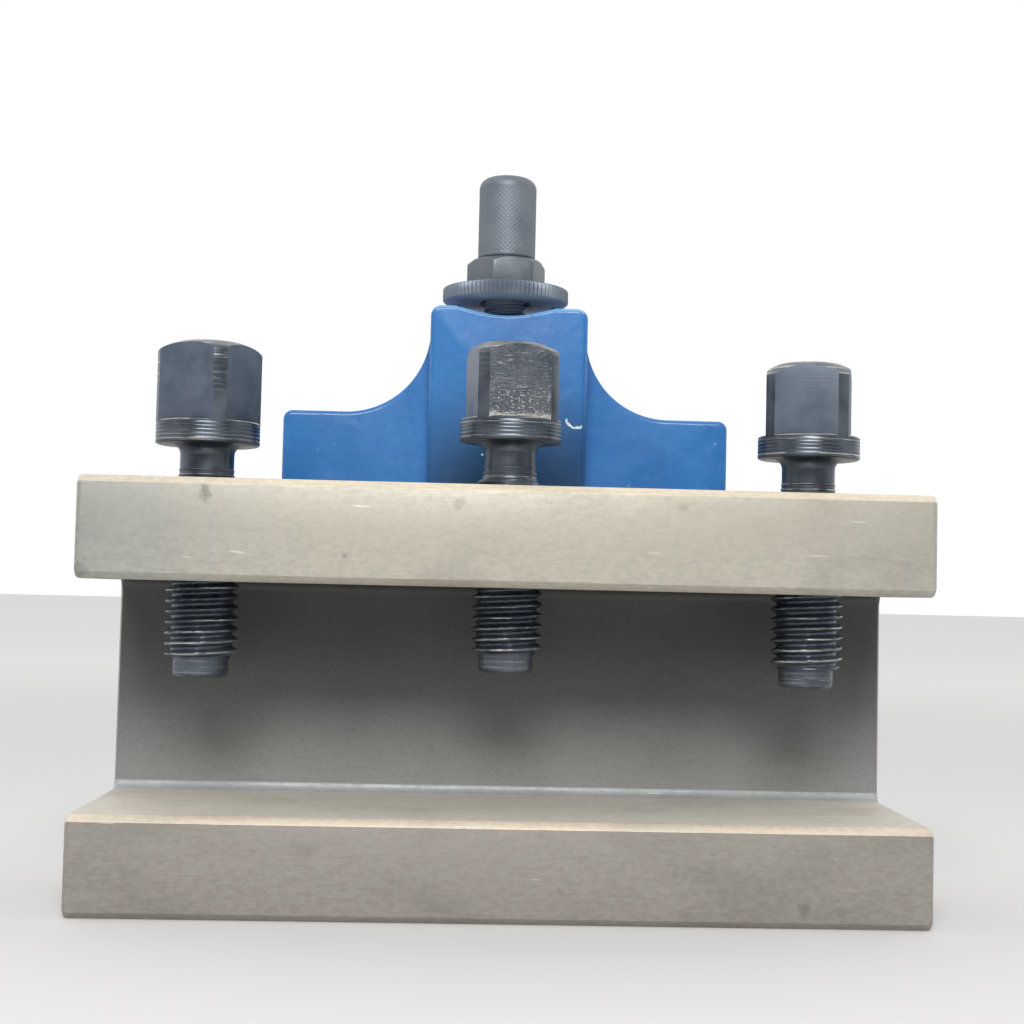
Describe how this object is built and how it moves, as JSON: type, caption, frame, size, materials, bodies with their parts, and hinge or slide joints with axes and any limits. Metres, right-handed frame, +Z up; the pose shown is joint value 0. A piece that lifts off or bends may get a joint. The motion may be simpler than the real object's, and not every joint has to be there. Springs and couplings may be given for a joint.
{
  "type": "quick change tool holder",
  "caption": "Serrated-seat quick change tool holder for a lathe: slotted steel bar with square-head clamp screws, toothed T-slot back and a height screw with lock nut and knurled nut.",
  "frame": {"origin": "centre of the footprint at the base, the bottom face of the lower jaw", "axes": "+X along the tool slot, -Y out of the slot's open mouth, +Y towards the tool post, +Z up, towards the clamp screw heads and the height screw"},
  "size_m": [0.135, 0.076, 0.1295],
  "materials": {
    "ground_steel": "surface ground, bare",
    "blue_paint": "gloss enamel on the carrier behind the bar",
    "black_screw": "blackened, turned",
    "grey_spindle": "blackened, knurled grip",
    "black_nut": "blackened, knurled rim"
  },
  "bodies": {
    "holder": {"holder_body": "ground_steel"},
    "clamp_left": {"clamp_screw_left": "black_screw"},
    "clamp_center": {"clamp_screw_center": "black_screw"},
    "clamp_right": {"clamp_screw_right": "black_screw"},
    "height": {"height_screw": "grey_spindle"},
    "lock_nut": {"hex_lock_nut": "grey_spindle"},
    "disc_nut": {"knurled_disc_nut": "black_nut"}
  },
  "joints": [
    {"name": "clamp_left_feed", "type": "slide", "parent": "holder", "child": "clamp_left", "axis": [0, 0, 1], "range_m": [-0.0059, 0.0171]},
    {"name": "clamp_center_feed", "type": "slide", "parent": "holder", "child": "clamp_center", "axis": [0, 0, 1], "range_m": [-0.0076, 0.0154]},
    {"name": "clamp_right_feed", "type": "slide", "parent": "holder", "child": "clamp_right", "axis": [0, 0, 1], "range_m": [-0.0061, 0.0169]},
    {"name": "height_adjust", "type": "slide", "parent": "holder", "child": "height", "axis": [0, 0, 1], "range_m": [-0.0014, 0.012]},
    {"name": "lock_nut_turn", "type": "hinge", "parent": "height", "child": "lock_nut", "pos_m": [-0.0007, 0.01376, 0.1112], "axis": [0, 0, 1], "continuous": true},
    {"name": "disc_nut_turn", "type": "hinge", "parent": "height", "child": "disc_nut", "pos_m": [-0.0007, 0.01376, 0.107], "axis": [0, 0, 1], "continuous": true}
  ]
}
